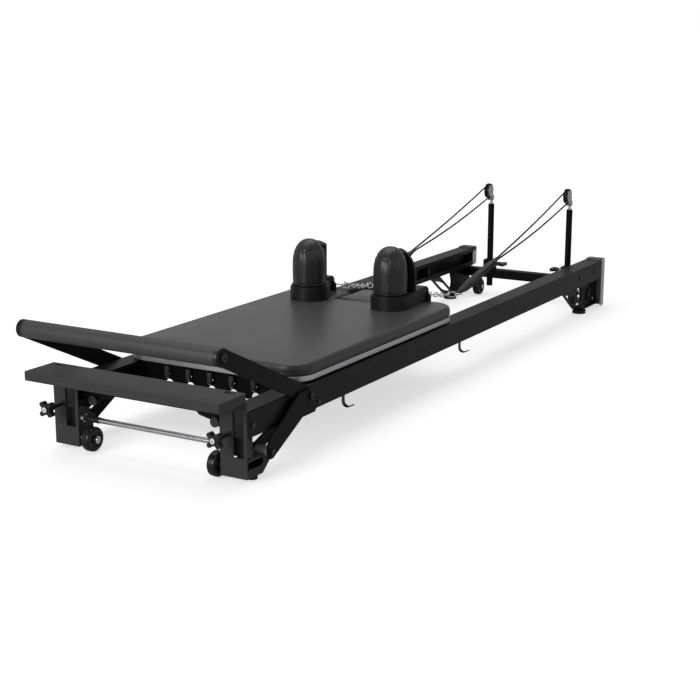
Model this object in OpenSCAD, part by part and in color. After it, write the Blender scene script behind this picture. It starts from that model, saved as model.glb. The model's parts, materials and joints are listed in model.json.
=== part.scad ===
// Pilates reformer: a sprung carriage that rolls between two side rails,
// with a foot bar at one end and rope pulleys at the other.
// Machine coordinates: X runs from the foot end of the rails (0) to the head
// end, Y = 0 is the middle, Z = 0 is the floor. place() then moves the whole
// machine so that the origin is the bottom centre of its box.
// Left is +Y and right is -Y, as seen from the foot end.

/* [Rails] */
// Length of each side rail
rail_len = 2400; // [2300:10:2500]
// Width over the outsides of the two rails
frame_w = 610; // [608:1:612]
// Height of the undersides of the rails above the floor
rail_z = 115; // [113:1:116]
// Height of one rail section
rail_h = 68; // [66:1:68]
// Width of one rail section
rail_w = 65; // [64:1:66]

/* [Carriage] */
// Distance from the foot end of the rails to the carriage
carriage_x = 262; // [262:1:280]
// Length of the carriage
carriage_len = 913; // [900:1:940]
// Width of the carriage
carriage_w = 580; // [570:1:590]
// Thickness of the upholstered pad
pad_t = 35; // [25:1:45]
// How far the carriage rolls
travel = 900; // [700:10:950]

/* [Foot bar] */
// Height of the foot bar arms' pivot
pivot_z = 161; // [158:1:164]
// Distance of the arms' pivot from the foot end of the rails
pivot_x = 268; // [266:1:270]
// Distance from the pivot to the middle of the padded bar
arm_len = 414.3; // [412:0.1:416]
// Angle of the arms above the horizontal
arm_angle = 25.8; // [20:0.1:45]
// Radius of the padded bar
bar_r = 23; // [18:1:23]

/* [Pulleys] */
// Top of the pulley risers
riser_top = 368; // [360:1:400]
// Distance of each riser from the middle
riser_y = 165; // [160:1:170]
// Radius of a rope
rope_r = 2.5; // [2:0.1:2.7]

/* [Hidden] */
$fn = 48;

// Colours
coat = "#2a2a2c";
coat_mid = "#464646";
rubber = "#161616";
silver = "#9a9a9a";
chrome = "#d8d8d8";
vinyl = "#3d3d40";

fit = 0.05;      // radial clearance of every turning fit
skin = 0.5;      // gap that keeps moving parts off their neighbours
sheet = 4;       // thickness of the folded steel plates

// Rail section
rail_out = frame_w / 2;
rail_in = rail_out - rail_w;
rail_top = rail_z + rail_h;
rail_wall = 4;
track_deep = 30;
track_z = rail_z + 15;
track_h = rail_h - 22;

// Rollers that carry the carriage
roller_r = 20;
roller_w = 21;
roller_axle_r = 5;
hook_z = 80;
hook_r = 14;
hook_tip = 14 * [cos(25), sin(25)];
roller_y = rail_in + 5.5;
roller_z = track_z + 0.3 + roller_r;
roller_x = [carriage_x + 68, carriage_x + carriage_len - 75];

// Carriage
plate_z = rail_top + 5;
plate_t = 14;
pad_z = plate_z + plate_t;
pad_top = pad_z + pad_t;
carriage_end = carriage_x + carriage_len;
corner_r = 66;
side_plate_y = rail_in - 12;
side_plate_t = 6;

// Headrest
head_pivot_x = 1063;
head_pivot_z = pad_z + 5.2;
headrest_end = 1240;
headrest_w = 172;
head_pin_r = 2.5;
board_z = pad_z + 1;
board_t = 12;
prop_arm = 50;
prop_r = 2.7;
prop_tip_r = 5;
prop_y = 34;

// Shoulder rests
shoulder_x = 1004;
shoulder_y = 145;
base_r = 60;
base_h = 45;
base_top = pad_top + base_h;
tail_in = 7;
tail_out = 47;
tail_end = 1169;
eye_y = 14;
upright_r = 54;
upright_top = 430;
dome_h = 80;
dome_blunt = 0.91;  // below 1: the dome is blunter than an ellipse
upright_back = 36;
shell_top = 414;
tongue_x = 52;
tongue_t = 12;
tongue_w = 50;
tongue_deep = 36;

// Foot end
bracket_x = -8;
bracket_z = 12;
bracket_w = 80;
bracket_out = rail_out + 1;
bracket_in = bracket_out - bracket_w;
platform_top = 231;
platform_t = 3;
platform_lip = 24;
platform_front = -116;
platform_back = -4;
platform_half = rail_out - 1;
slot_x = -27;
slot_y = 252;
slot_w = 18;
slot_len = 30;
knob_x = -64;
knob_z = 121;
knob_from_edge = 26;
stud_r = 5;

// Foot bar
arm_w = 46;
arm_t = 5.5;
arm_y = bracket_out + 0.5;
bar_x = pivot_x - arm_len * cos(arm_angle);
bar_z = pivot_z + arm_len * sin(arm_angle);
pivot_r = 6;
brace_y = arm_y + arm_t + 1;
brace_t = 6;
brace_bolt = [84, 61];

// Wheels
wheel_r = 33;
wheel_w = 26;
axle_r = 5;
foot_wheel_x = 5;
foot_wheel_in = [179, 195];  // left and right: inner faces
foot_wheel_z = 36;
head_wheel_x = 2378;
head_wheel_y = 190;
head_wheel_z = 36;

// Spring bar
spring_bar_x = 274;
spring_bar_z = rail_z + 8;
arch_z = 128;
arch_r = 15;
spring_gap = 71;
spring_z = rail_z + 45;
spring_r = 14;
spring_from = 296;
spring_to = 664;
spring_anchor_x = 700;

// Head end
head_x = rail_len;
end_x = rail_len + 34;
web_y = rail_in + 28;
web_t = 8;
crossbar_z = 74;
crossbar_h = 34;
crossbar_w = 36;
riser_r = 12;
riser_low = 40;
clamp_top = crossbar_z + crossbar_h + 38;
riser_knob_z = 130;
sheave_x = rail_len - 26;
sheave_z = riser_top + 55;
sheave_r = 28;
sheave_w = 15;
sheave_axle_r = 4;
rope_path_r = 25.7;
strap_end = [1747, 280];
rope_angle = atan2(sheave_z - strap_end[1], sheave_x - strap_end[0]);

// The whole machine, so that the origin is the middle of its box
mid_x = (end_x + bar_x - bar_r) / 2;

// ---- helpers ----

function hook_point(r, a) = [hook_r + r * cos(a), hook_z + r * sin(a)];

module place() translate([-mid_x, 0, 0]) children();

// Left is drawn as modelled, right is its mirror image
module on_side(s) {
    if (s > 0) children();
    else mirror([0, 1, 0]) children();
}

module both_sides() {
    children();
    mirror([0, 1, 0]) children();
}

// A section drawn in Y and Z, run along X
module along_x(from, to)
    translate([from, 0, 0]) rotate([90, 0, 90]) linear_extrude(to - from) children();

// An outline drawn in X and Z, given thickness along Y
module along_y(from, to)
    translate([0, to, 0]) rotate([90, 0, 0]) linear_extrude(to - from) children();

// A round bar along X, Y or in the X-Z plane between two points
module rod_x(from, to, r) translate([from, 0, 0]) rotate([0, 90, 0]) cylinder(h = to - from, r = r);
module rod_y(from, to, r) translate([0, to, 0]) rotate([90, 0, 0]) cylinder(h = to - from, r = r);
module rod_xz(a, b, r)
    translate([a[0], 0, a[1]]) rotate([0, atan2(b[0] - a[0], b[1] - a[1]), 0])
        cylinder(h = norm([b[0] - a[0], b[1] - a[1]]), r = r, $fn = 24);

// A ring standing in the X-Z plane
module ring_y(r, wire) rotate([90, 0, 0]) rotate_extrude() translate([r, 0]) circle(wire, $fn = 24);

// A rectangle with round corners
module round_rect(from, size, r) {
    translate([from[0] + r, from[1]]) square([size[0] - 2 * r, size[1]]);
    translate([from[0], from[1] + r]) square([size[0], size[1] - 2 * r]);
    for (x = [r, size[0] - r], y = [r, size[1] - r]) translate(from + [x, y]) circle(r);
}

// A slot of a given overall length and width, lying along X
module slot_2d(len, w) {
    square([len - w, w], center = true);
    for (s = [-1, 1]) translate([s * (len - w) / 2, 0]) circle(w / 2);
}

// ---- rails ----

module rail_section() difference() {
    translate([rail_in, rail_z]) square([rail_w, rail_h]);
    translate([rail_in - 1, track_z + 2]) square([track_deep + 1, track_h - 8]);
    translate([rail_in + 5, track_z]) square([track_deep - 5, track_h]);
    translate([rail_in - 1, rail_z + 5]) square([4, 3]);
    translate([rail_in + track_deep + rail_wall, rail_z + rail_wall])
        square([rail_w - track_deep - 2 * rail_wall, rail_h - 2 * rail_wall]);
    translate([rail_out, rail_top]) rotate(45) square([5, 5], center = true);
}

module rails() color(coat) place() both_sides() difference() {
    along_x(0, rail_len) rail_section();
    translate([pivot_x, 0, pivot_z]) rod_y(rail_out - 12, rail_out + 1, pivot_r);
}

// Caps that close both ends of each rail; the head cap is held between the trims
module rail_end_caps() color(rubber) place() both_sides() {
    along_x(bracket_x + sheet, 0)
        translate([rail_in + 1, rail_z + 1]) square([rail_w - 2, rail_h - 2]);
    along_x(rail_len, end_x - sheet) {
        translate([rail_in + 5, rail_z - 1]) square([rail_w - 10, rail_h + 5]);
        translate([rail_in + 1, rail_top - 10]) square([rail_w - 6, 14]);
    }
    along_y(rail_in + 6, rail_out - 5) polygon([
        [rail_len - 10, rail_top], [rail_len, rail_top],
        [rail_len, rail_top + 4], [rail_len - 6, rail_top + 4]]);
}

// ---- foot end ----

// Front plate: a slot for hooking accessories on and a hole for the knob's stud
module bracket_plate(left_edge) difference() {
    translate([left_edge - bracket_w, bracket_z])
        square([bracket_w, platform_top - platform_lip - bracket_z - 1]);
    translate([left_edge - 71, 64]) square([32, 118]);
    translate([left_edge - knob_from_edge, knob_z]) circle(stud_r + fit);
}

// Box under the front plate that holds the foot, with a window in its outer side
module foot_box() {
    x = bracket_x + sheet;
    difference() {
        along_y(rail_out - 43, bracket_out) polygon([
            [x, 12], [60, 12], [92, 38], [92, 44], [76, 46], [66, 60], [x, 60]]);
        along_y(rail_out - 39, bracket_out + 1) polygon([
            [x - 1, 16], [58.6, 16], [86, 38.4], [86, 41], [74, 42.5], [64, 56], [x - 1, 56]]);
    }
    along_y(bracket_out - sheet, bracket_out) difference() {
        polygon([[x, 14], [59.3, 14], [89, 38.5], [89, 42.5], [75, 44.3], [65, 58], [x, 58]]);
        polygon([[x - 1, 35], [54, 33], [66, 41], [58, 54], [x - 1, 54]]);
    }
    // ear that takes the brace bolt
    along_y(rail_out - 43, rail_out - 39) difference() {
        union() {
            translate([64, 42]) square([24, 20]);
            translate(brace_bolt) circle(18);
        }
        translate(brace_bolt) circle(5);
    }
}

// Inner cheek that carries the transport wheel and the tie rod
module wheel_cheek() along_y(bracket_in, bracket_in + sheet) difference() {
    translate([bracket_x + sheet, bracket_z]) square([44, 98]);
    translate([foot_wheel_x, foot_wheel_z]) circle(axle_r);
    translate([8, 89]) circle(7);
}

module foot_bracket(left_edge) {
    along_x(bracket_x, bracket_x + sheet) bracket_plate(left_edge);
}

module foot_brackets() color(coat_mid) place() {
    // one pressing is used on both sides, so its slot isn't mirrored
    for (edge = [bracket_out, -bracket_in]) foot_bracket(edge);
    both_sides() {
        foot_box();
        wheel_cheek();
        // panel that closes the bracket behind the slot
        translate([20, bracket_in + 1, 58]) cube([3, bracket_w - sheet - 1, rail_z - 58 - skin]);
        // tab and flange that bolt to the underside of the platform
        translate([bracket_x, bracket_in + 8, platform_top - platform_lip - 1])
            cube([sheet, bracket_w - 20, platform_lip - platform_t + 1]);
        translate([bracket_x - 44, bracket_in + 2, platform_top - platform_t - sheet]) difference() {
            cube([44 + sheet, bracket_w - 10, sheet]);
            translate([slot_x - bracket_x + 44 - 1, slot_y - bracket_in - 3, -1])
                cube([slot_w + 2, slot_len + 2, sheet + 2]);
        }
    }
}

// Outer brace from the foot box up to the foot bar's pivot, and the inner strut
module foot_braces() color(coat) place() both_sides() {
    along_y(brace_y, brace_y + brace_t) difference() {
        polygon([
            [68, 52], [76, 44], [88, 44], [226, rail_z], [286, rail_z], [294, 124], [296, 150],
            [288, 172], [274, 181], [214, 181], [191, 166], [128, 125], [84, 105], [67, 80]]);
        translate([pivot_x, pivot_z]) circle(pivot_r);
        translate(brace_bolt) circle(5);
    }
    along_y(rail_out - 38, rail_out - 34) difference() {
        polygon([[78, 47], [98, 46], [212, 104], [212, rail_z], [182, rail_z], [72, 78], [70, 66]]);
        translate(brace_bolt) circle(5);
    }
}

// Bolts, washers and spacers that hold the frame together
module frame_bolts() color(rubber) place() {
    both_sides() {
        // through bolt and spacer at the foot of each brace
        translate([brace_bolt[0], 0, brace_bolt[1]]) {
            rod_y(rail_out - 47, brace_y + brace_t, 5);
            rod_y(rail_out - 34, brace_y, 14);
            rod_y(brace_y + brace_t, brace_y + brace_t + 4, 8);
        }
        // screws through the outer faces of the rails
        for (p = [[21, 145], [328, 131], [2180, 150], [2330, 150]])
            translate([p[0], 0, p[1]]) rod_y(rail_out, rail_out + 3, 7);
        // spacers between brace and rail, clear of the arm
        for (p = [[285, 127], [226, 127]])
            translate([p[0], 0, p[1]]) rod_y(rail_out, brace_y, 7);
        // large screws through the ends of the front crossbar
        translate([0, 195, 137]) {
            rod_x(13, 25, 13);
            rod_x(25, 34, 5);
        }
        // bolts that hold the end plates
        for (x = [rail_len - 110, rail_len - 40])
            translate([x, 0, 102]) rod_y(web_y - 4, web_y, 7);
        translate([rail_len - 57, 0, 56]) rod_y(web_y + web_t, web_y + web_t + 4, 9);
    }
    // washers behind the clamp knobs
    for (edge = [bracket_out, -bracket_in])
        translate([0, edge - knob_from_edge, knob_z]) difference() {
            rod_x(bracket_x - 3, bracket_x, 11);
            rod_x(bracket_x - 4, bracket_x + 1, stud_r + fit);
        }
}

module tie_rod() color(chrome) place() translate([8, 0, 89]) {
    rod_y(-bracket_in - sheet, bracket_in + sheet, 7);
    both_sides() {
        rod_y(bracket_in - 10, bracket_in, 11);
        rod_y(bracket_in + sheet, bracket_in + sheet + 6, 11);
    }
}

// Folded sheet that is stood on, with two slots for the posts of accessories
module standing_platform() color(coat_mid) place() difference() {
    translate([0, 0, platform_top - platform_lip]) linear_extrude(platform_lip)
        round_rect([platform_front, -platform_half],
                   [platform_back - platform_front, 2 * platform_half], 3);
    translate([platform_front + platform_t, -platform_half + platform_t,
               platform_top - platform_lip - 1])
        cube([platform_back - platform_front, 2 * (platform_half - platform_t),
              platform_lip - platform_t + 1]);
    both_sides() translate([slot_x, slot_y, platform_top - platform_t - 1])
        cube([slot_w, slot_len, platform_t + 2]);
}

// Cross member between the rails, deeper where it meets them
module front_crossbar() color(coat) place() {
    both_sides() difference() {
        along_x(25, 31) polygon([
            [0, rail_top - 4], [0, 154], [132, 154], [141, 146], [178, 138], [184, 124],
            [206, 124], [rail_in, 138], [rail_in, rail_top - 4]]);
        translate([0, 195, 137]) rod_x(24, 32, 5);
    }
    translate([25, -rail_in, rail_top - 4]) cube([34, 2 * rail_in, 4]);
}

// ---- spring bar and springs ----

// Cross plate with an arch under each post; each spring hooks onto a post
module spring_bar() color(coat) place() {
    difference() {
        along_x(spring_bar_x, spring_bar_x + 6)
            translate([-(rail_in - 8), spring_bar_z])
                square([2 * (rail_in - 8), rail_top - spring_bar_z]);
        for (i = [-2:2]) translate([0, i * spring_gap, 0]) {
            translate([0, 0, arch_z]) rod_x(spring_bar_x - 1, spring_bar_x + 7, arch_r);
            translate([0, 0, spring_z]) rod_x(spring_bar_x - 1, spring_bar_x + 7, 5);
        }
    }
    for (i = [-2:2]) translate([spring_bar_x - 8, i * spring_gap, 0]) {
        translate([0, 0, 151]) cylinder(h = rail_top - 151, r = 7);
        translate([0, 0, rail_top - 12]) rod_x(0, 8, 4);
    }
}

module spring_bar_cradles() color(coat) place() both_sides() difference() {
    translate([spring_bar_x - 8, rail_in - 12, rail_z + 3]) cube([22, 12, rail_h - 12]);
    translate([spring_bar_x, rail_in - 13, spring_bar_z]) cube([6, 5, rail_h]);
}

// Tension springs, closed up at rest, with a hook at each end
module springs() color(rubber) place() for (i = [-2:2]) translate([0, i * spring_gap, spring_z]) {
    difference() {
        rod_x(spring_from, spring_to, spring_r);
        rod_x(spring_from + 6, spring_to - 6, spring_r - 3);
    }
    rod_x(spring_bar_x - 1, spring_from, 3);
    rod_x(spring_to, spring_anchor_x - 10, 3);
}

// ---- wheels and feet ----

// Transport wheel about Y, with a rounded tyre and a turned hub
module transport_wheel(x, y, z) translate([x, y, z]) rotate([-90, 0, 0]) rotate_extrude($fn = 64) {
    difference() {
        translate([axle_r + fit, 0]) square([wheel_r - 6 - axle_r, wheel_w]);
        translate([12, -1]) square([8, 5]);
        translate([12, wheel_w - 4]) square([8, 5]);
    }
    translate([wheel_r - 7, 7]) square([7, wheel_w - 14]);
    translate([wheel_r - 7, 7]) circle(7);
    translate([wheel_r - 7, wheel_w - 7]) circle(7);
}

module foot_wheel(s) color(rubber) place() on_side(s)
    transport_wheel(foot_wheel_x, foot_wheel_in[s > 0 ? 0 : 1], foot_wheel_z);

module head_wheel(s) color(rubber) place() on_side(s)
    transport_wheel(head_wheel_x, head_wheel_y, head_wheel_z);

module foot_wheel_left() foot_wheel(1);
module foot_wheel_right() foot_wheel(-1);
module head_wheel_left() head_wheel(1);
module head_wheel_right() head_wheel(-1);

// Bolt with a head on the inner side, a spacer and a nut behind the mounting plate
module wheel_axle(x, z, inner, mount_in, mount_t) translate([x, 0, z]) {
    rod_y(inner - skin, mount_in + mount_t + 8, axle_r);
    rod_y(inner - skin - 6, inner - skin, 10);
    rod_y(inner + wheel_w + skin, mount_in, 9);
    rod_y(mount_in + mount_t, mount_in + mount_t + 6, 9);
}

module wheel_axles() color(chrome) place() for (s = [1, -1]) on_side(s) {
    wheel_axle(foot_wheel_x, foot_wheel_z, foot_wheel_in[s > 0 ? 0 : 1], bracket_in, sheet);
    wheel_axle(head_wheel_x, head_wheel_z, head_wheel_y, web_y, web_t);
}

module rubber_feet() color(rubber) place() both_sides() {
    translate([40, rail_out - 18, 0]) cylinder(h = 12, r = 14);
    translate([2262, rail_in + 32, 0]) {
        cylinder(h = 9, r = 25);
        translate([0, 0, 9]) cylinder(h = 3, r = 22);
    }
}

// ---- head end ----

// Plate under each rail's head end, with a raised boss and a foot flange
module end_plates() color(coat) place() both_sides() {
    along_y(web_y, web_y + web_t) difference() {
        translate([2262, 14]) square([end_x - sheet - 2262, rail_z - 15]);
        translate([2250, 109]) square([100, 10]);
        translate([2226, 66]) circle(44);
        translate([head_wheel_x, head_wheel_z]) circle(axle_r);
    }
    along_y(web_y + web_t, web_y + web_t + 4) difference() {
        translate([rail_len - 57, 56]) circle(24);
        translate([rail_len - 57, 56]) circle(15);
    }
    translate([2300, web_y - 8, 12]) cube([end_x - sheet - 2300, 26, 4]);
}

// Bright folded trim that wraps the very end of each side
module end_trims() color(silver) place() both_sides() {
    along_x(end_x - sheet, end_x) {
        round_rect([rail_in + 1, rail_z + 2], [rail_w - 4, rail_h + 3], 4);
        round_rect([web_y + 2, 4], [rail_out - 3 - web_y - 2, rail_z + 20], 4);
    }
    along_y(rail_out - 4.5, rail_out - 1) polygon([
        [rail_len + 3, 12], [rail_len + 6, 6], [rail_len + 12, 4], [end_x - 10, 4],
        [end_x - 4, 6], [end_x, 12], [end_x, rail_top + 3], [rail_len + 3, rail_top + 3]]);
    translate([rail_len + 2, rail_in + 1, rail_z + 3])
        cube([end_x - rail_len - 2, 3.5, rail_h - 14]);
}

module rear_crossbar() color(coat) place() difference() {
    translate([rail_len - crossbar_w / 2, -web_y, crossbar_z]) cube([crossbar_w, 2 * web_y, crossbar_h]);
    for (s = [-1, 1]) translate([rail_len, s * riser_y, crossbar_z - 1])
        cylinder(h = crossbar_h + 2, r = riser_r + fit);
    for (x = [-crossbar_w / 2, crossbar_w / 2])
        translate([rail_len + x - 1.5, -web_y - 1, crossbar_z + crossbar_h / 2])
            cube([3, 2 * web_y + 2, 3]);
}

// Sloping plate with a long hole, from the rail's underside to the rubber foot
module rear_braces() color(coat_mid) place() both_sides() {
    top = [2114, rail_z];
    low = [2260, bracket_z + sheet];
    slope = atan2(top[1] - low[1], low[0] - top[0]);
    bend = sheet * tan(slope / 2);
    difference() {
        along_y(rail_in + 4, rail_in + 60) polygon([
            top - [30, 0], top, low, low + [30, 0], low + [30, -sheet],
            low - [bend, sheet], top - [bend, sheet], top - [30, sheet]]);
        translate([(top[0] + low[0]) / 2, rail_in + 32, (top[1] + low[1]) / 2 - 10])
            rotate([0, slope, 0]) linear_extrude(20) slot_2d(92, 34);
        // the lower foot is narrower than the plate
        translate([low[0] - 1, rail_in + 26, 0]) cube([40, 40, 30]);
    }
}

module riser_clamps() color(coat) place() both_sides() difference() {
    translate([rail_len - 20, riser_y - 20, crossbar_z + crossbar_h])
        cube([40, 40, clamp_top - crossbar_z - crossbar_h]);
    translate([rail_len, riser_y, crossbar_z]) cylinder(h = 100, r = riser_r + fit);
    translate([rail_len + riser_r - 2, riser_y - 1, crossbar_z + crossbar_h - 1]) cube([30, 2, 60]);
    translate([rail_len, 0, riser_knob_z]) rod_y(riser_y - 21, riser_y - 10, 4 + fit);
}

// Adjustable riser: a tube with a plug that the pulley's swivel stem turns in
module riser(s) color(rubber) place() on_side(s) translate([rail_len, riser_y, 0]) difference() {
    translate([0, 0, riser_low]) cylinder(h = riser_top - riser_low, r = riser_r);
    translate([0, 0, riser_low - 1]) cylinder(h = riser_top - riser_low - 29, r = riser_r - 2.5);
    translate([0, 0, riser_top - 20]) cylinder(h = 21, r = 4 + fit);
}

module riser_left() riser(1);
module riser_right() riser(-1);

// Tee knob that pinches the riser in its clamp
module riser_knob(s) color(rubber) place() on_side(s) translate([rail_len, 0, riser_knob_z]) {
    rod_y(riser_y - 30, riser_y - riser_r - skin, 4);
    rod_y(riser_y - 50, riser_y - 28, 8);
    translate([-20, riser_y - 66, -6]) cube([40, 16, 12]);
}

module riser_knob_left() riser_knob(1);
module riser_knob_right() riser_knob(-1);

// Swivel stem, eye and the two cheeks that hold the sheave
module pulley_block(s) color(chrome) place() on_side(s) translate([rail_len, riser_y, 0]) {
    translate([0, 0, riser_top - 18]) cylinder(h = 26, r = 4);
    translate([0, 0, riser_top + skin]) cylinder(h = 5, r = 8);
    translate([0, 0, riser_top + 14]) ring_y(8, 2.5);
    lean = atan2(sheave_x - rail_len, sheave_z - riser_top - 20);
    for (side = [-1, 1]) {
        from = side > 0 ? sheave_w / 2 + skin : -sheave_w / 2 - skin - 2;
        difference() {
            along_y(from, from + 2) {
                translate([sheave_x - rail_len, sheave_z]) circle(22);
                translate([0, riser_top + 20]) rotate(-lean) translate([-9, -2]) square([18, 34]);
            }
            translate([sheave_x - rail_len, 0, sheave_z]) rod_y(-20, 20, sheave_axle_r);
        }
    }
    translate([0, 0, riser_top + 20]) rotate([0, lean, 0])
        translate([-8, -sheave_w / 2 - skin, -2]) cube([16, sheave_w + 2 * skin, 5]);
    translate([sheave_x - rail_len, 0, sheave_z]) {
        rod_y(-sheave_w / 2 - 4, sheave_w / 2 + 4, sheave_axle_r);
        both_sides() rod_y(sheave_w / 2 + 2 + skin, sheave_w / 2 + 5, 6);
    }
}

module pulley_block_left() pulley_block(1);
module pulley_block_right() pulley_block(-1);

module pulley_wheel(s) color(rubber) place() on_side(s)
    translate([sheave_x, riser_y, sheave_z]) rotate([90, 0, 0]) rotate_extrude($fn = 64) difference() {
        translate([sheave_axle_r + fit, -sheave_w / 2])
            square([sheave_r - sheave_axle_r - fit, sheave_w]);
        translate([sheave_r + 0.8, 0]) circle(6);
    }

module pulley_wheel_left() pulley_wheel(1);
module pulley_wheel_right() pulley_wheel(-1);

// Flat strips bent into J hooks under the rails, for hanging straps and springs
module accessory_hooks() color(chrome) place() both_sides()
    for (x = [515, 1240]) {
        along_x(x - 6, x + 6) translate([rail_in + 28, 0]) polygon(concat(
            [[-1.5, rail_z]],
            [for (a = [180:11.5:295]) hook_point(hook_r + 1.5, a)],
            [hook_point(hook_r + 1.5, 295) + hook_tip, hook_point(hook_r - 1.5, 295) + hook_tip],
            [for (a = [180:11.5:295]) hook_point(hook_r - 1.5, 475 - a)],
            [[1.5, rail_z]]));
        translate([x - 9, rail_in + 18, rail_z - 3]) cube([18, 20, 3]);
    }

// Rubber blocks in the tracks that end the carriage's travel
module carriage_stops() color(rubber) place() both_sides()
    for (x = [roller_x[0] - roller_r - skin - 18, roller_x[1] + roller_r + travel + skin])
        translate([x, rail_in + 7, track_z]) cube([18, track_deep - 7, 30]);

// ---- ropes ----

rope_lift = rope_path_r;
rope_n = [-sin(rope_angle), cos(rope_angle)];
rope_top = [sheave_x + rope_lift * rope_n[0], sheave_z + rope_lift * rope_n[1]];
rope_low = [sheave_x - rope_lift * rope_n[0], sheave_z - rope_lift * rope_n[1]];
rope_dir = [-cos(rope_angle), -sin(rope_angle)];
strap_start = [1440, 207];
strap_lean = atan2(strap_end[1] - strap_start[1], strap_end[0] - strap_start[0]);

// Each rope comes from its strap, round the sheave and back beside the strap
module ropes() color(rubber) place() both_sides() translate([0, riser_y, 0]) {
    rod_xz(rope_top - 2 * rope_dir, strap_end + [4, 12], rope_r);
    rod_xz(rope_low - 2 * rope_dir, strap_end + [4, -1], rope_r);
    translate([sheave_x, 0, sheave_z]) rotate([90, 0, 0]) rotate([0, 0, rope_angle - 90])
        rotate_extrude(angle = 180, $fn = 64) translate([rope_path_r, 0]) circle(rope_r + 0.2, $fn = 24);
}

// Soft hand loops, folded together along the ropes
module hand_straps() color(coat) place() both_sides() translate([0, riser_y - 5, 0])
    rod_xz(strap_start, strap_end, 10);

// Snap hooks and rings from the carriage to the hand loops
module snap_hooks() color(chrome) place() both_sides() {
    points = [[1198, 247], [1268, 232], [1330, 222], [1420, 209]];
    for (i = [0:2]) translate([0, 134 + 8 * i, 0]) {
        rod_xz(points[i] + [10, -2], points[i + 1] - [10, -2], 4);
        translate([points[i][0], 0, points[i][1]]) ring_y(9, 2.5);
        translate([points[i + 1][0], 0, points[i + 1][1]]) ring_y(9, 2.5);
    }
}

// ---- foot bar ----

module footbar_tube() color(coat) place() translate([bar_x, 0, bar_z]) {
    difference() {
        rod_y(-arm_y, arm_y, bar_r - 5);
        rod_y(-arm_y - 1, arm_y + 1, bar_r - 7);
    }
    both_sides() difference() {
        rod_y(arm_y - 8, arm_y, bar_r - 1);
        rod_y(arm_y - 9, arm_y + 1, 5);
    }
}

module footbar_pad() color(vinyl) place() translate([bar_x, 0, bar_z]) difference() {
    rod_y(-arm_y + 8, arm_y - 8, bar_r);
    rod_y(-arm_y, arm_y, bar_r - 5);
}

// Flat arms that swing in the gap between rail and brace
module footbar_arms() color(coat) place() both_sides() difference() {
    along_y(arm_y, arm_y + arm_t) translate([pivot_x, pivot_z]) rotate(180 - arm_angle) {
        translate([0, -arm_w / 2 + 1]) square([arm_len, arm_w - 2]);
        circle(arm_w / 2 - 1);
        translate([arm_len, 0]) circle(arm_w / 2);
    }
    translate([pivot_x, 0, pivot_z]) rod_y(arm_y - 1, arm_y + arm_t + 1, pivot_r + 2 + fit);
    translate([bar_x, 0, bar_z]) rod_y(arm_y - 1, arm_y + arm_t + 1, 5);
}

module footbar_end_bolts() color(chrome) place() translate([bar_x, 0, bar_z]) both_sides() {
    rod_y(arm_y - 20, arm_y + arm_t, 5);
    rod_y(arm_y + arm_t, arm_y + arm_t + 3, 8);
}

// Shouldered pivot bolts: the arm turns on the shoulder between rail and brace
module footbar_pivot_bolts() color(chrome) place() both_sides() translate([pivot_x, 0, pivot_z]) {
    rod_y(rail_out - 12, brace_y + brace_t, pivot_r);
    rod_y(rail_out, brace_y, pivot_r + 2);
    rod_y(brace_y + brace_t, brace_y + brace_t + 5, 10);
}

// Four-lobed knob on a stud that screws through the front plate
module clamp_knob(left_edge) color(rubber) place() translate([0, left_edge - knob_from_edge, knob_z]) {
    along_x(knob_x - 8, knob_x + 8) {
        circle(13);
        for (a = [45:90:315]) rotate(a) {
            translate([0, -6]) square([18, 12]);
            translate([18, 0]) circle(6.5);
        }
    }
    rod_x(knob_x - 11, knob_x - 8, 8);
    rod_x(knob_x + 8, knob_x + 20, 9);
    rod_x(knob_x + 20, bracket_x + sheet - skin, stud_r);
}

module clamp_knob_left() clamp_knob(bracket_out);
module clamp_knob_right() clamp_knob(-bracket_in);

// ---- carriage ----

module carriage_outline(inset)
    round_rect([carriage_x + inset, -carriage_w / 2 + inset],
               [carriage_len - 2 * inset, carriage_w - 2 * inset], corner_r - inset);

module carriage_plate() color(silver) place() translate([0, 0, plate_z])
    linear_extrude(plate_t) carriage_outline(0);

// Side plates that hold the rollers, and the cross members between them
module carriage_underframe() color(coat) place() {
    both_sides() difference() {
        along_y(side_plate_y, side_plate_y + side_plate_t) polygon([
            [carriage_x + 34, plate_z], [carriage_x + 34, roller_z - 14],
            [carriage_x + 110, roller_z - 14], [carriage_x + 140, plate_z - 22],
            [carriage_end - 150, plate_z - 22], [carriage_end - 118, roller_z - 14],
            [carriage_end - 40, roller_z - 14], [carriage_end - 40, plate_z]]);
        for (x = roller_x) translate([x, 0, roller_z])
            rod_y(side_plate_y - 1, side_plate_y + side_plate_t + 1, roller_axle_r);
    }
    translate([carriage_x + 60, -side_plate_y, plate_z - 8]) cube([40, 2 * side_plate_y, 8]);
    for (x = [spring_anchor_x - 10, roller_x[1] - 20])
        translate([x, -side_plate_y, plate_z - 20]) cube([40, 2 * side_plate_y, 20]);
    // lugs that the springs hook onto
    for (i = [-2:2]) translate([spring_anchor_x - 10, i * spring_gap - 4, spring_z - 8])
        cube([10, 8, plate_z - spring_z + 8]);
}

module carriage_pad() color(vinyl) place() translate([0, 0, pad_z]) difference() {
    union() {
        linear_extrude(pad_t - 6) carriage_outline(1);
        translate([0, 0, pad_t - 6]) linear_extrude(6) carriage_outline(5);
    }
    translate([head_pivot_x - 6, -headrest_w / 2 - 6, -1]) cube([200, headrest_w + 12, pad_t + 2]);
}

module roller_axles() color(chrome) place() both_sides() for (x = roller_x) translate([x, 0, roller_z]) {
    rod_y(side_plate_y - 6, roller_y + roller_w + skin, roller_axle_r);
    rod_y(side_plate_y - 6, side_plate_y, 9);
    rod_y(side_plate_y + side_plate_t, roller_y - skin, 8);
    rod_y(roller_y + roller_w + skin, roller_y + roller_w + 2.5, 8);
}

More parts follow.
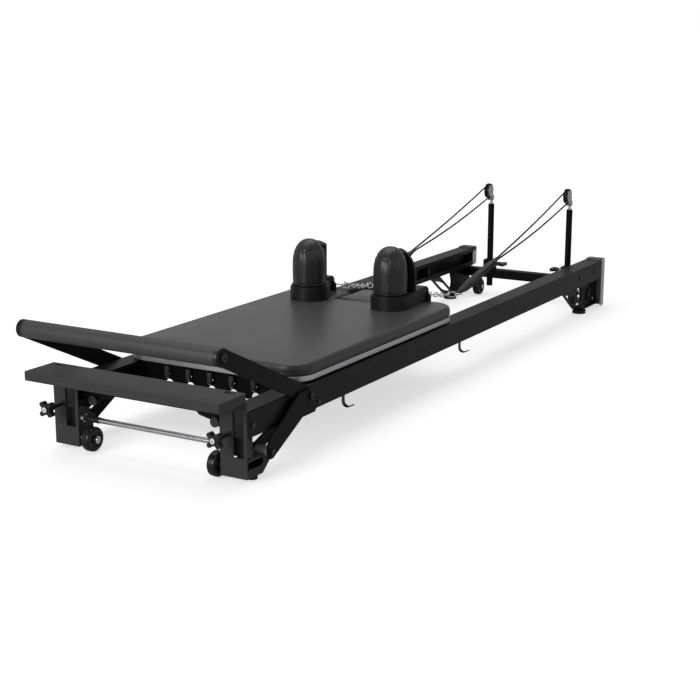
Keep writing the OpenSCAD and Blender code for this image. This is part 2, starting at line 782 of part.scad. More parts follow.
module roller(x, s) color(rubber) place() on_side(s) translate([x, roller_y, roller_z])
    rotate([-90, 0, 0]) rotate_extrude() difference() {
        translate([roller_axle_r + fit, 0]) square([roller_r - roller_axle_r - fit, roller_w]);
        translate([9, -1]) square([5, 4]);
        translate([9, roller_w - 3]) square([5, 4]);
    }

module roller_foot_left() roller(roller_x[0], 1);
module roller_foot_right() roller(roller_x[0], -1);
module roller_head_left() roller(roller_x[1], 1);
module roller_head_right() roller(roller_x[1], -1);

// ---- headrest ----

// Pin across the carriage, held by an ear at each side
module headrest_hinge() color(chrome) place() {
    translate([head_pivot_x, 0, head_pivot_z]) rod_y(-headrest_w / 2 - 4, headrest_w / 2 + 4, head_pin_r);
    both_sides() translate([head_pivot_x - 3.5, headrest_w / 2 + 1, pad_z]) cube([7, 4, 10]);
}

// Board with a hollow underneath for the folded prop
module headrest_board() color(coat) place() difference() {
    union() {
        translate([head_pivot_x + 6, -headrest_w / 2, board_z])
            cube([headrest_end - head_pivot_x - 8, headrest_w, board_t]);
        translate([head_pivot_x, 0, head_pivot_z]) {
            for (y = [-50, 50]) translate([0, y, 0]) rod_y(-20, 20, 5);
            for (y = [-70, 30]) translate([0, y, 0]) cube([8, 40, 5]);
        }
    }
    translate([head_pivot_x, 0, head_pivot_z]) rod_y(-headrest_w, headrest_w, head_pin_r + fit);
    translate([head_pivot_x + prop_arm - 6, -prop_y - 5, board_z - 1])
        cube([prop_arm + 12, 2 * prop_y + 10, 10.7]);
    translate([head_pivot_x + prop_arm, 0, head_pivot_z]) rod_y(-prop_y - 15, prop_y + 15, prop_r + fit);
}

module headrest_pad() color(vinyl) place() translate([0, 0, board_z + board_t]) difference() {
    along_y(-headrest_w / 2, headrest_w / 2) polygon([
        [head_pivot_x + 5, 0.1], [headrest_end, 0.1], [headrest_end, 14], [headrest_end - 8, 22],
        [head_pivot_x + 18, 22], [head_pivot_x + 12, 18]]);
}

// Wire prop that folds flat under the board and stands on the carriage
module headrest_prop() color(chrome) place() translate([head_pivot_x + prop_arm, 0, head_pivot_z]) {
    rod_y(-prop_y - 12, prop_y + 12, prop_r);
    for (y = [-prop_y, prop_y]) translate([0, y, 0]) rod_x(0, prop_arm, prop_r);
    translate([prop_arm, 0, 0]) rod_y(-prop_y - 4, prop_y + 4, prop_tip_r);
}

// ---- shoulder rests ----

// Moulded foot of a shoulder rest: round front, narrow tail set towards the
// outside, and a socket for the upright
module shoulder_base_outline(inset) {
    circle(base_r - inset, $fn = 96);
    translate([0, tail_in + inset])
        square([tail_end - shoulder_x - inset, tail_out - tail_in - 2 * inset]);
    polygon([[0, inset - 52], [74, inset - 32], [104, tail_in + inset], [104, tail_out - inset],
             [0, 57 - inset]]);
}

module shoulder_bases() color(coat) place() both_sides() translate([shoulder_x, shoulder_y, pad_top]) {
    difference() {
        union() {
            linear_extrude(base_h - 5) shoulder_base_outline(0);
            translate([0, 0, base_h - 5]) linear_extrude(5) shoulder_base_outline(3);
        }
        translate([0, 0, -1]) linear_extrude(base_h - 37) shoulder_base_outline(4);
        translate([tongue_x - tongue_t / 2 - 0.3, -tongue_w / 2 - 0.3, base_h - tongue_deep - 1])
            cube([tongue_t + 0.6, tongue_w + 0.6, tongue_deep + 2]);
    }
    // eye that the snap hooks hang on
    translate([tail_end - shoulder_x + 8, eye_y, 12]) ring_y(9, 2.5);
    translate([0, eye_y, 12]) rod_x(tail_end - shoulder_x - 4, tail_end - shoulder_x + 2, 4);
}

// Domed upright: a revolved outline with its back cut flat
module upright_profile(r, low, top, dome) polygon(concat(
    [[0, low], [r - 3, low], [r, low + 3]],
    [for (a = [0:10:80]) [r * pow(cos(a), dome_blunt), top - dome + dome * pow(sin(a), dome_blunt)]],
    [[0, top]]));

module shoulder_pad(s) color(vinyl) place() on_side(s) translate([shoulder_x, shoulder_y, 0])
    difference() {
        rotate_extrude($fn = 96)
            upright_profile(upright_r, base_top + skin, upright_top, dome_h);
        translate([upright_back, -80, 0]) cube([100, 160, 500]);
    }

module shoulder_pad_left() shoulder_pad(1);
module shoulder_pad_right() shoulder_pad(-1);

// Rigid back of the upright: an arched plate stands off the pad, leaving room for
// the fingers on the outer side, and a tongue below drops into the base
module shoulder_shell(s) color(coat) place() on_side(s) translate([shoulder_x, shoulder_y, 0]) {
    intersection() {
        translate([0, 0, base_top + skin]) linear_extrude(upright_top - base_top) polygon([
            [upright_back + 0.2, -32], [54, -32], [60, -26], [60, 57], [57, 60], [50, 60],
            [50, 26], [upright_back + 0.2, 22]]);
        along_x(0, 80) polygon([
            [-40, base_top - 1], [61, base_top - 1], [61, shell_top - 96], [59, shell_top - 76],
            [56, shell_top - 58], [51, shell_top - 43], [44, shell_top - 30], [34, shell_top - 18],
            [23, shell_top - 8], [10, shell_top - 1], [0, shell_top], [-16, shell_top - 4],
            [-40, shell_top - 13]]);
    }
    translate([tongue_x - tongue_t / 2, -tongue_w / 2, base_top - tongue_deep])
        cube([tongue_t, tongue_w, tongue_deep + 6]);
}

module shoulder_shell_left() shoulder_shell(1);
module shoulder_shell_right() shoulder_shell(-1);

rails();
rail_end_caps();
foot_brackets();
foot_braces();
tie_rod();
standing_platform();
front_crossbar();
spring_bar();
spring_bar_cradles();
springs();
rubber_feet();
end_plates();
end_trims();
rear_crossbar();
rear_braces();
riser_clamps();
frame_bolts();
accessory_hooks();
wheel_axles();
carriage_stops();
footbar_pivot_bolts();
ropes();
hand_straps();
snap_hooks();
footbar_tube();
footbar_pad();
footbar_arms();
footbar_end_bolts();
clamp_knob_left();
clamp_knob_right();
foot_wheel_left();
foot_wheel_right();
head_wheel_left();
head_wheel_right();
carriage_plate();
carriage_underframe();
carriage_pad();
roller_axles();
headrest_hinge();
shoulder_bases();
roller_foot_left();
roller_foot_right();
roller_head_left();
roller_head_right();
shoulder_pad_left();
shoulder_pad_right();
shoulder_shell_left();
shoulder_shell_right();
headrest_pad();
headrest_board();
headrest_prop();
riser_left();
riser_right();
riser_knob_left();
riser_knob_right();
pulley_block_left();
pulley_block_right();
pulley_wheel_left();
pulley_wheel_right();
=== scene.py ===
import json
import math

import bmesh
import bpy
from mathutils import Euler, Matrix, Vector, geometry, noise


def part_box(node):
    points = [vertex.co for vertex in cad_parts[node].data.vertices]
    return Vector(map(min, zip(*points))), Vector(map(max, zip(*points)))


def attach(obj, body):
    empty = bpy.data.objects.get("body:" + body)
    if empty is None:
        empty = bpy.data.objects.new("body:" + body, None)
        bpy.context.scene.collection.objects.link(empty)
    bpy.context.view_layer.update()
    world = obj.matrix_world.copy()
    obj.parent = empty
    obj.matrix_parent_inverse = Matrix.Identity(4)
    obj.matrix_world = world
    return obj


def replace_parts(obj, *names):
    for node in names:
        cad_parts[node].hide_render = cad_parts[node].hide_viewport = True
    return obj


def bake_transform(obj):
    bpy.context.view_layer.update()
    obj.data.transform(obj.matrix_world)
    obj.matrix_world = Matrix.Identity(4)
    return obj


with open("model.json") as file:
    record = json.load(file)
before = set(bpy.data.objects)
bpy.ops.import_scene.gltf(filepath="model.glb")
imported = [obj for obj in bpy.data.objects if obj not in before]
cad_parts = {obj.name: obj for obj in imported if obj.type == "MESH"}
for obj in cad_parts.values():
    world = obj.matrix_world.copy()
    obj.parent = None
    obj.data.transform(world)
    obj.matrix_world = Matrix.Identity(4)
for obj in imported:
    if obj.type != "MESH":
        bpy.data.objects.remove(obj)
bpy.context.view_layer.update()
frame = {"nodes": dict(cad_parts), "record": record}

# ---- where things are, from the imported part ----

MM = 0.001
BOX = {name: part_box(name) for name in frame["nodes"]}
JOINT = {j["name"]: j for j in frame["record"]["behaviour"]["joints"]}
SIDES = (("left", 1), ("right", -1))
FOOT_X = BOX["rails"][0].x
SPRINGS = 5
X_AXIS, Y_AXIS, Z_AXIS = Vector((1, 0, 0)), Vector((0, 1, 0)), Vector((0, 0, 1))


def at(x, y, z):
    """A place in millimetres from the foot end of the rails, the middle and the floor."""
    return Vector((FOOT_X + x * MM, y * MM, z * MM))


def pivot(joint):
    return Vector(JOINT[joint]["pos_m"])


# ---- materials ----

EDGE_R = 0.0016


class Surface:
    """A node material whose textures run on object coordinates, in metres."""

    def __init__(self, name, metal=0.0, specular=0.5, uv=False):
        self.material = bpy.data.materials.new(name)
        self.material.use_nodes = True
        self.tree = self.material.node_tree
        self.shader = self.tree.nodes["Principled BSDF"]
        self.shader.inputs["Metallic"].default_value = metal
        self.shader.inputs["Specular IOR Level"].default_value = specular
        if uv:
            self.place = self.add("ShaderNodeUVMap").outputs["UV"]
        else:
            self.place = self.add("ShaderNodeTexCoord").outputs["Object"]
        self.normal = None

    def add(self, kind, links=(), values=(), **settings):
        node = self.tree.nodes.new(kind)
        for key, value in settings.items():
            setattr(node, key, value)
        for key, value in dict(values).items():
            node.inputs[key].default_value = value
        for key, socket in dict(links).items():
            self.tree.links.new(socket, node.inputs[key])
        return node

    def stretched(self, scale):
        node = self.add("ShaderNodeMapping", {"Vector": self.place}, {"Scale": scale})
        return node.outputs["Vector"]

    def noise(self, scale, detail=3.0, stretch=(1, 1, 1)):
        return self.add("ShaderNodeTexNoise", {"Vector": self.stretched(stretch)},
                        {"Scale": scale, "Detail": detail, "Roughness": 0.55}).outputs["Fac"]

    def cells(self, scale, feature="SMOOTH_F1"):
        return self.add("ShaderNodeTexVoronoi", {"Vector": self.place}, {"Scale": scale},
                        feature=feature).outputs["Distance"]

    def wave(self, stretch, direction):
        return self.add("ShaderNodeTexWave", {"Vector": self.stretched(stretch)},
                        {"Scale": 1.0, "Distortion": 0.0}, bands_direction=direction).outputs["Fac"]

    def math(self, operation, a, b):
        node = self.add("ShaderNodeMath", operation=operation)
        for i, x in enumerate((a, b)):
            if isinstance(x, (int, float)):
                node.inputs[i].default_value = x
            else:
                self.tree.links.new(x, node.inputs[i])
        return node.outputs[0]

    def span(self, value, low, high, start=0.0, end=1.0):
        limits = {"From Min": start, "From Max": end, "To Min": low, "To Max": high}
        return self.add("ShaderNodeMapRange", {"Value": value}, limits).outputs[0]

    def blend(self, factor, a, b):
        node = self.add("ShaderNodeMix", data_type="RGBA")
        self.tree.links.new(factor, node.inputs[0])
        for i, x in ((6, a), (7, b)):
            if isinstance(x, tuple):
                node.inputs[i].default_value = (*x, 1.0)
            else:
                self.tree.links.new(x, node.inputs[i])
        return node.outputs[2]

    def bevel(self, radius):
        return self.add("ShaderNodeBevel", values={"Radius": radius}, samples=4).outputs["Normal"]

    def soften(self, radius):
        """Rounds the shading of sharp edges."""
        self.normal = self.bevel(radius)
        return self

    def bump(self, height, distance, strength=1.0):
        links = {"Height": height}
        if self.normal is not None:
            links["Normal"] = self.normal
        self.normal = self.add("ShaderNodeBump", links,
                               {"Distance": distance, "Strength": strength}).outputs["Normal"]
        return self

    def edges(self):
        """1 along sharp edges, 0 on flat faces."""
        eased = self.bevel(EDGE_R)
        flat = self.add("ShaderNodeNewGeometry").outputs["Normal"]
        dot = self.add("ShaderNodeVectorMath", operation="DOT_PRODUCT")
        self.tree.links.new(eased, dot.inputs[0])
        self.tree.links.new(flat, dot.inputs[1])
        return self.span(dot.outputs["Value"], 1.0, 0.0, 0.80, 0.995)

    def finish(self, colour, rough):
        for key, value in (("Base Color", colour), ("Roughness", rough)):
            if isinstance(value, tuple):
                self.shader.inputs[key].default_value = (*value, 1.0)
            elif isinstance(value, (int, float)):
                self.shader.inputs[key].default_value = value
            else:
                self.tree.links.new(value, self.shader.inputs[key])
        if self.normal is not None:
            self.tree.links.new(self.normal, self.shader.inputs["Normal"])
        return self.material


def grey(v):
    return (v, v, v * 1.03)


def powder_coat(name, tone, rough, specular=0.3):
    """Fine orange-peel paint, with its edges painted lighter in patches: partly rubbed wear, partly
    a painted edge highlight.
    """
    s = Surface(name, specular=specular).soften(0.0011)
    s.bump(s.noise(900, 2), 0.00005).bump(s.noise(170, 2), 0.00008)
    patchy = s.span(s.noise(4.0, 4), 0.86, 1.14)
    paint = s.blend(s.span(patchy, 0.0, 1.0, 0.8, 1.2), grey(tone * 0.82), grey(tone * 1.2))
    # edges painted lighter in patches: wear together with a painted edge highlight
    worn_and_highlit_edges = s.math("MULTIPLY", s.edges(), s.span(s.noise(60, 4), 0.1, 0.75))
    colour = s.blend(worn_and_highlit_edges, paint, grey(tone * 2.2 + 0.012))
    return s.finish(colour, s.math("MULTIPLY", s.span(s.noise(24, 4), 0.88, 1.14), rough))


def polished(name, tone, rough, stretch=(1, 1, 1)):
    """Bright metal with fine scratches and a little uneven polish."""
    s = Surface(name, metal=1.0).soften(0.0006)
    s.bump(s.noise(500, 3, stretch=stretch), 0.000012)
    colour = s.blend(s.noise(30, 4), grey(tone * 0.9), grey(tone))
    uneven = s.span(s.noise(90, 4, stretch=stretch), 0.6, 1.5)
    return s.finish(colour, s.math("MULTIPLY", uneven, rough))


def moulded(name, tone, rough, grain=0.00006, specular=0.35):
    """Moulded plastic or rubber with a fine spark-eroded grain, and a painted highlight along its
    edges.
    """
    s = Surface(name, specular=specular).soften(0.0012)
    s.bump(s.cells(1400, "F1"), grain).bump(s.noise(260, 3), grain)
    body = s.blend(s.noise(9, 4), grey(tone * 0.85), grey(tone * 1.15))
    # every edge painted lighter: a painted edge highlight
    colour = s.blend(s.span(s.edges(), 0.0, 0.5), body, grey(tone * 1.9 + 0.01))
    return s.finish(colour, s.math("MULTIPLY", s.span(s.noise(40, 4), 0.88, 1.12), rough))


def vinyl(name, tone, rough):
    """Coated upholstery: small pebbles and soft unevenness, with the grain's low spots painted
    darker as shade so that the high spots look shinier.
    """
    s = Surface(name, specular=0.40)
    pebbles = s.math("ADD", s.cells(620), s.math("MULTIPLY", s.noise(1100, 3), 0.5))
    s.bump(s.noise(14, 3), 0.0009, 0.5).bump(pebbles, 0.00014)
    colour = s.blend(s.noise(6, 5), grey(tone * 0.88), grey(tone * 1.12))
    # the grain's low spots painted darker: painted shade
    colour = s.blend(s.span(pebbles, 0.35, 0.0, 0.0, 0.7), colour, grey(tone * 0.55))
    s.shader.inputs["Sheen Weight"].default_value = 0.06
    s.shader.inputs["Coat Weight"].default_value = 0.05
    s.shader.inputs["Coat Roughness"].default_value = 0.35
    return s.finish(colour, s.math("ADD", s.span(s.noise(20, 4), -0.05, 0.05), rough))


def woven(name, tone, rough):
    """Webbing: threads across and along, from the strap's own coordinates."""
    s = Surface(name, specular=0.25, uv=True)
    weave = s.math("MULTIPLY", s.wave((110, 1, 1), "X"), s.wave((1, 260, 1), "Y"))
    s.bump(weave, 0.0005, 0.9)
    # lighter on the threads and darker between them: the weave's pattern, with painted shade in the
    # gaps
    colour = s.blend(weave, grey(tone * 0.55), grey(tone * 1.35))
    s.shader.inputs["Sheen Weight"].default_value = 0.25
    return s.finish(colour, rough)


def braided(name, tone, rough):
    """Cord: two sets of strands that wind round it opposite ways."""
    s = Surface(name, specular=0.3, uv=True)
    strands = s.math("MAXIMUM", *(s.wave((turn * 6.283, 60, 1), "DIAGONAL") for turn in (1, -1)))
    s.bump(strands, 0.0006)
    # lighter on the strands and darker between them: the braid's pattern, with painted shade in the
    # grooves
    colour = s.blend(strands, grey(tone * 0.5), grey(tone * 1.3))
    return s.finish(colour, rough)


def foam(name, tone, rough):
    """Closed-cell sleeve with tiny open pores."""
    s = Surface(name, specular=0.4)
    pores = s.cells(1500, "F1")
    s.bump(s.noise(40, 4), 0.0004, 0.6).bump(pores, 0.00008)
    colour = s.blend(s.noise(12, 5, stretch=(1, 0.25, 1)), grey(tone * 0.85), grey(tone * 1.15))
    return s.finish(colour, s.math("ADD", s.span(s.noise(30, 4), -0.06, 0.06), rough))


LOOK = {
    "black_anodised": powder_coat("black_anodised", 0.0042, 0.34, 0.12),
    "black_coating": powder_coat("black_coating", 0.0036, 0.42, 0.10),
    "grey_coating": powder_coat("grey_coating", 0.036, 0.50, 0.16),
    "black_plastic": moulded("black_plastic", 0.009, 0.36),
    "moulded_plastic": moulded("moulded_plastic", 0.008, 0.42, specular=0.22),
    "chrome": polished("chrome", 0.70, 0.16),
    "dark_steel": polished("dark_steel", 0.07, 0.34),
    "spring_steel": polished("spring_steel", 0.14, 0.34),
    "rubber": moulded("rubber", 0.010, 0.62, 0.0001),
    "roller_tread": moulded("roller_tread", 0.009, 0.20, 0.00003),
    "silver": polished("silver", 0.58, 0.42, (0.04, 1, 1)),
    "bar_tube": powder_coat("bar_tube", 0.016, 0.40),
    "foam_grip": foam("foam_grip", 0.032, 0.52),
    "upholstery": vinyl("upholstery", 0.021, 0.34),
    "rope": braided("rope", 0.012, 0.7),
    "webbing": woven("webbing", 0.014, 0.8),
}
PALE = moulded("pale_cap", 0.62, 0.45)
# a darker copy of the upholstery vinyl for the shoulder rests and their welts: painted shade, since
# their fronts catch the front light
SHADED_PAD_COVER = vinyl("shaded_pad_cover", 0.010, 0.34)
STEEL_GREY = powder_coat("steel_grey", 0.22, 0.36, 0.4)

for entry in frame["record"]["subparts"]:
    mesh = frame["nodes"][entry["node"]].data
    mesh.materials.clear()
    mesh.materials.append(LOOK[entry["material_slot"]])

# ---- mesh helpers ----

SHARP = math.radians(48)
UV_PER_METRE = 10
TINY = 1e-6


def build(name, verts, faces, material, uvs=None):
    """A smooth-shaded mesh object; uvs holds one list of corner coordinates per face."""
    mesh = bpy.data.meshes.new(name)
    mesh.from_pydata([tuple(v) for v in verts], [], faces)
    if uvs:
        layer = mesh.uv_layers.new(name="UVMap")
        for polygon in mesh.polygons:
            for corner, uv in zip(polygon.loop_indices, uvs[polygon.index]):
                layer.data[corner].uv = uv
    work = bmesh.new()
    work.from_mesh(mesh)
    bmesh.ops.recalc_face_normals(work, faces=work.faces)
    for face in work.faces:
        face.smooth = True
    for edge in work.edges:
        if len(edge.link_faces) == 2 and edge.calc_face_angle(0.0) > SHARP:
            edge.smooth = False
    work.to_mesh(mesh)
    work.free()
    mesh.materials.append(material)
    obj = bpy.data.objects.new(name, mesh)
    bpy.context.scene.collection.objects.link(obj)
    return obj


def circle(r, n):
    turns = [2 * math.pi * i / n for i in range(n)]
    return [(r * math.cos(a), r * math.sin(a)) for a in turns]


def band(width, thick, n):
    """A flat strap's cross-section with rounded edges."""
    out = []
    for side in (1, -1):
        for i in range(n + 1):
            a = -math.pi / 2 + math.pi * i / n
            out.append((side * (width / 2 - thick / 2 + math.cos(a) * thick / 2),
                        side * math.sin(a) * thick / 2))
    return out


def rail_path(points, count):
    """A smooth curve of count points through the given ones."""
    pts = [2 * points[0] - points[1], *points, 2 * points[-1] - points[-2]]
    out = []
    spans = len(points) - 1
    for i in range(count):
        t = i / (count - 1) * spans
        k = min(int(t), spans - 1)
        t -= k
        a, b, c, d = pts[k:k + 4]
        out.append(0.5 * ((2 * b) + (c - a) * t + (2 * a - 5 * b + 4 * c - d) * t * t
                          + (3 * b - a - 3 * c + d) * t ** 3))
    return out


def sweep(name, path, section, material, normal, closed=False, size=None):
    """Runs a closed cross-section of (across, along normal) pairs along a path."""
    count, m = len(path), len(section)
    verts, faces, uvs = [], [], []
    for i, p in enumerate(path):
        if closed:
            ahead, behind = path[(i + 1) % count], path[i - 1]
        else:
            ahead, behind = path[min(i + 1, count - 1)], path[max(i - 1, 0)]
        tangent = (ahead - behind).normalized()
        across = tangent.cross(normal).normalized()
        lift = across.cross(tangent)
        k = size(i / (count - 1)) if size else 1.0
        verts += [p + across * (a * k) + lift * (b * k) for a, b in section]
    lengths = [0.0]
    for i in range(1, count + 1):
        lengths.append(lengths[-1] + (path[i % count] - path[i - 1]).length)
    for i in range(count if closed else count - 1):
        for k in range(m):
            j, k2 = (i + 1) % count, (k + 1) % m
            faces.append((i * m + k, i * m + k2, j * m + k2, j * m + k))
            u0, u1 = k / m, (k + 1) / m
            v0, v1 = lengths[i] * UV_PER_METRE, lengths[i + 1] * UV_PER_METRE
            uvs.append([(u0, v0), (u1, v0), (u1, v1), (u0, v1)])
    if not closed:
        for base in (0, (count - 1) * m):
            faces.append(tuple(range(base, base + m)))
            uvs.append([(0.0, 0.0)] * m)
    return build(name, verts, faces, material, uvs)


def lathe(name, centre, axis, profile, material, n):
    """Turns a profile of (along the axis, radius) pairs, in metres."""
    axis = axis.normalized()
    one = axis.orthogonal().normalized()
    two = axis.cross(one)
    verts, rows, faces = [], [], []
    for along, r in profile:
        if r < TINY:
            rows.append([len(verts)] * n)
            verts.append(centre + axis * along)
        else:
            rows.append(list(range(len(verts), len(verts) + n)))
            for i in range(n):
                a = 2 * math.pi * i / n
                verts.append(centre + axis * along + (one * math.cos(a) + two * math.sin(a)) * r)
    for low, high in zip(rows, rows[1:]):
        for i in range(n):
            j = (i + 1) % n
            face = []
            for v in (low[i], low[j], high[j], high[i]):
                if v not in face:
                    face.append(v)
            if len(face) > 2:
                faces.append(tuple(face))
    if profile[0][1] > TINY:
        faces.append(tuple(rows[0]))
    if profile[-1][1] > TINY:
        faces.append(tuple(rows[-1]))
    return build(name, verts, faces, material)


def inset(points, amount):
    """The outline moved inwards; the points run anticlockwise."""
    out, n = [], len(points)
    for i, p in enumerate(points):
        a = (p - points[i - 1]).normalized()
        b = (points[(i + 1) % n] - p).normalized()
        na, nb = Vector((-a.y, a.x)), Vector((-b.y, b.x))
        mid = (na + nb).normalized()
        out.append(p + mid * (amount / max(0.4, mid.dot(na))))
    return out


def rounded(corners, radii, step):
    """A polygon with round corners, resampled so that its points are about step apart."""
    raw, n = [], len(corners)
    for i, (p, r) in enumerate(zip(corners, radii)):
        a = (corners[i - 1] - p).normalized()
        b = (corners[(i + 1) % n] - p).normalized()
        reach = r / math.tan(a.angle(b) / 2)
        start, end = p + a * reach, p + b * reach
        centre = p + (a + b).normalized() * (r / math.sin(a.angle(b) / 2))
        turn = (start - centre).angle_signed(end - centre)
        count = max(4, int(abs(turn) * r / step))
        for k in range(count + 1):
            raw.append(centre + Matrix.Rotation(-turn * k / count, 2) @ (start - centre))
    out = []
    for i, p in enumerate(raw):
        q = raw[(i + 1) % len(raw)]
        if (q - p).length > TINY / 10:
            parts = max(1, round((q - p).length / step))
            out += [p.lerp(q, k / parts) for k in range(parts)]
    return out


def depth(point, outline):
    """Distance from a point to the outline."""
    best = 1e9
    for i, a in enumerate(outline):
        near = geometry.intersect_point_line(point, outline[i - 1], a)
        t = min(1.0, max(0.0, near[1]))
        best = min(best, (outline[i - 1].lerp(a, t) - point).length)
    return best


def skin(rows, m):
    """Faces between rows of m points each."""
    return [(i * m + k, i * m + (k + 1) % m, (i + 1) * m + (k + 1) % m, (i + 1) * m + k)
            for i in range(rows - 1) for k in range(m)]


def cushion(name, outline, levels, material, step, top):
    """A closed pad: rings of (inset, height) up its side, then a filled top whose height is
    top(x, y, distance from the last ring)."""
    rings = [inset(outline, d) for d, _ in levels]
    m = len(outline)
    verts = [Vector((p.x, p.y, z)) for ring, (_, z) in zip(rings, levels) for p in ring]
    faces = skin(len(levels), m)
    faces.append(tuple(range(m)))
    rim = rings[-1]
    lo = Vector((min(p.x for p in rim), min(p.y for p in rim)))
    hi = Vector((max(p.x for p in rim), max(p.y for p in rim)))
    inner = []
    rows = int((hi.y - lo.y) / step) + 1
    for r in range(rows):
        for c in range(int((hi.x - lo.x) / step) + 1):
            p = lo + Vector(((c + 0.5 * (r % 2)) * step, r * step))
            if inside(p, rim) and depth(p, rim) > step * 0.6:
                inner.append(p)
    edges = [(i, (i + 1) % m) for i in range(m)]
    flat = geometry.delaunay_2d_cdt(rim + inner, edges, [], 1, 1e-7)
    base = (len(levels) - 1) * m
    index = []
    for p, origin in zip(flat[0], flat[3]):
        own = [o for o in origin if o < m]
        if own:
            index.append(base + own[0])
        else:
            index.append(len(verts))
            verts.append(Vector((p.x, p.y, top(p.x, p.y, depth(p, rim)))))
    faces += [tuple(index[i] for i in f) for f in flat[2]]
    return build(name, verts, faces, material)


def inside(p, outline):
    """Whether a point lies within the outline."""
    hit = False
    for i, a in enumerate(outline):
        b = outline[i - 1]
        crosses = (a.y > p.y) != (b.y > p.y)
        if crosses and p.x < (b.x - a.x) * (p.y - a.y) / (b.y - a.y) + a.x:
            hit = not hit
    return hit


def loft(name, rings, material):
    """Skins a stack of rings and closes both ends."""
    m = len(rings[0])
    verts = [p for ring in rings for p in ring]
    faces = skin(len(rings), m)
    for ring, base in ((rings[0], 0), (rings[-1], (len(rings) - 1) * m)):
        verts.append(sum(ring, Vector()) / m)
        faces += [(base + k, base + (k + 1) % m, len(verts) - 1) for k in range(m)]
    return build(name, verts, faces, material)


def ease(t):
    t = min(1.0, max(0.0, t))
    return t * t * (3 - 2 * t)


# ---- soft covers ----

VOXEL = 0.004
PRESSURE = 4.0
CLOTH_STEPS = 20
SWELL = 0.0025


def baked(obj):
    """Applies the object's modifiers, and returns its new mesh."""
    graph = bpy.context.evaluated_depsgraph_get()
    mesh = bpy.data.meshes.new_from_object(obj.evaluated_get(graph))
    obj.modifiers.clear()
    obj.data = mesh
    for polygon in mesh.polygons:
        polygon.use_smooth = True
    return mesh


def swollen(obj):
    """Lets a closed cover swell like cloth over foam, by no more than SWELL."""
    even = obj.modifiers.new("even", "REMESH")
    even.mode, even.voxel_size = "VOXEL", VOXEL
    rest = [v.co.copy() for v in baked(obj).vertices]
    cover = obj.modifiers.new("cover", "CLOTH")
    cover.settings.use_pressure = True
    cover.settings.uniform_pressure_force = PRESSURE
    cover.settings.effector_weights.gravity = 0.0
    for step in range(1, CLOTH_STEPS + 1):
        bpy.context.scene.frame_set(step)
    for v, start in zip(baked(obj).vertices, rest):
        move = v.co - start
        if move.length > SWELL:
            v.co = start + move.normalized() * SWELL
    bpy.context.scene.frame_set(1)
    fine = obj.modifiers.new("fine", "SUBSURF")
    fine.levels = 1
    baked(obj)
    return obj


# ---- carriage pad ----


def piping(name, outline, z, r, body):
    """A welt sewn round an outline."""
    path = [Vector((p.x, p.y, z)) for p in outline]
    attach(sweep(name, path, circle(r, 8), LOOK["upholstery"], Z_AXIS, closed=True), body)


def quarter_roll(z_from, z_to, deep, n):
    """(inset, height) pairs of a rounded shoulder that ends deep inside."""
    return [(deep * (1 - math.cos(math.pi / 2 * i / n)),
             z_from + (z_to - z_from) * math.sin(math.pi / 2 * i / n)) for i in range(1, n + 1)]


pad_lo, pad_hi = BOX["carriage_pad"]
head_lo, head_hi = BOX["headrest_pad"]
notch_x = head_lo.x - 0.009
notch_y = head_hi.y + 0.006
CORNER_R, LIP_R, NOTCH_R = 0.066, 0.012, 0.010
pad_outline = rounded(
    [Vector(xy) for xy in ((pad_lo.x, pad_lo.y), (pad_hi.x, pad_lo.y), (pad_hi.x, -notch_y),
                           (notch_x, -notch_y), (notch_x, notch_y), (pad_hi.x, notch_y),
                           (pad_hi.x, pad_hi.y), (pad_lo.x, pad_hi.y))],
    [CORNER_R, CORNER_R, LIP_R, NOTCH_R, NOTCH_R, LIP_R, CORNER_R, CORNER_R], 0.009)
pad_z, pad_top = pad_lo.z, pad_hi.z
PAD_SHOULDER = 0.0022  # the crown starts this far below the pad's top


def pad_surface(x, y, d):
    """A firm pad: a low crown, and faint slack in the cover towards the edges."""
    slack = noise.noise(Vector((x * 7, y * 7, 2.0))) * 0.0007 * (1 - ease((d - 0.02) / 0.12))
    ripple = noise.noise(Vector((x * 22, y * 22, 5.0))) * 0.00022
    return pad_top - PAD_SHOULDER + 0.0030 * ease(d / 0.09) + slack + ripple


side = [(0.004, pad_z), (0.0012, pad_z + 0.003), (0.0, pad_z + 0.007), (0.0006, pad_z + 0.0085),
        (-0.0004, pad_z + 0.011), (-0.0010, pad_z + 0.016), (-0.0004, pad_z + 0.021)]
carriage_pad = cushion(
    "carriage_upholstery", pad_outline,
    side + quarter_roll(pad_z + 0.0225, pad_top - PAD_SHOULDER, 0.0105, 8), LOOK["upholstery"],
    0.014, pad_surface)
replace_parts(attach(carriage_pad, "carriage"), "carriage_pad")
piping("carriage_piping", inset(pad_outline, 0.0003), pad_z + 0.0078, 0.0016, "carriage")

# ---- headrest ----

head_outline = rounded(
    [Vector(xy) for xy in ((head_lo.x, head_lo.y), (head_hi.x, head_lo.y),
                           (head_hi.x, head_hi.y), (head_lo.x, head_hi.y))],
    [0.008, 0.016, 0.016, 0.008], 0.006)
head_middle = (head_lo.x + head_hi.x) / 2
head_half = (head_hi.x - head_lo.x) / 2
HEAD_SHOULDER = 0.0045
HEAD_SEAM = 0.0058
NEAR_SIDE = 0.93  # a share of the way out from the middle


def head_surface(x, y, d):
    across = 1 - (y / head_hi.y) ** 2
    return head_hi.z - HEAD_SHOULDER + 0.0034 * ease(d / 0.05) * (0.6 + 0.4 * across)


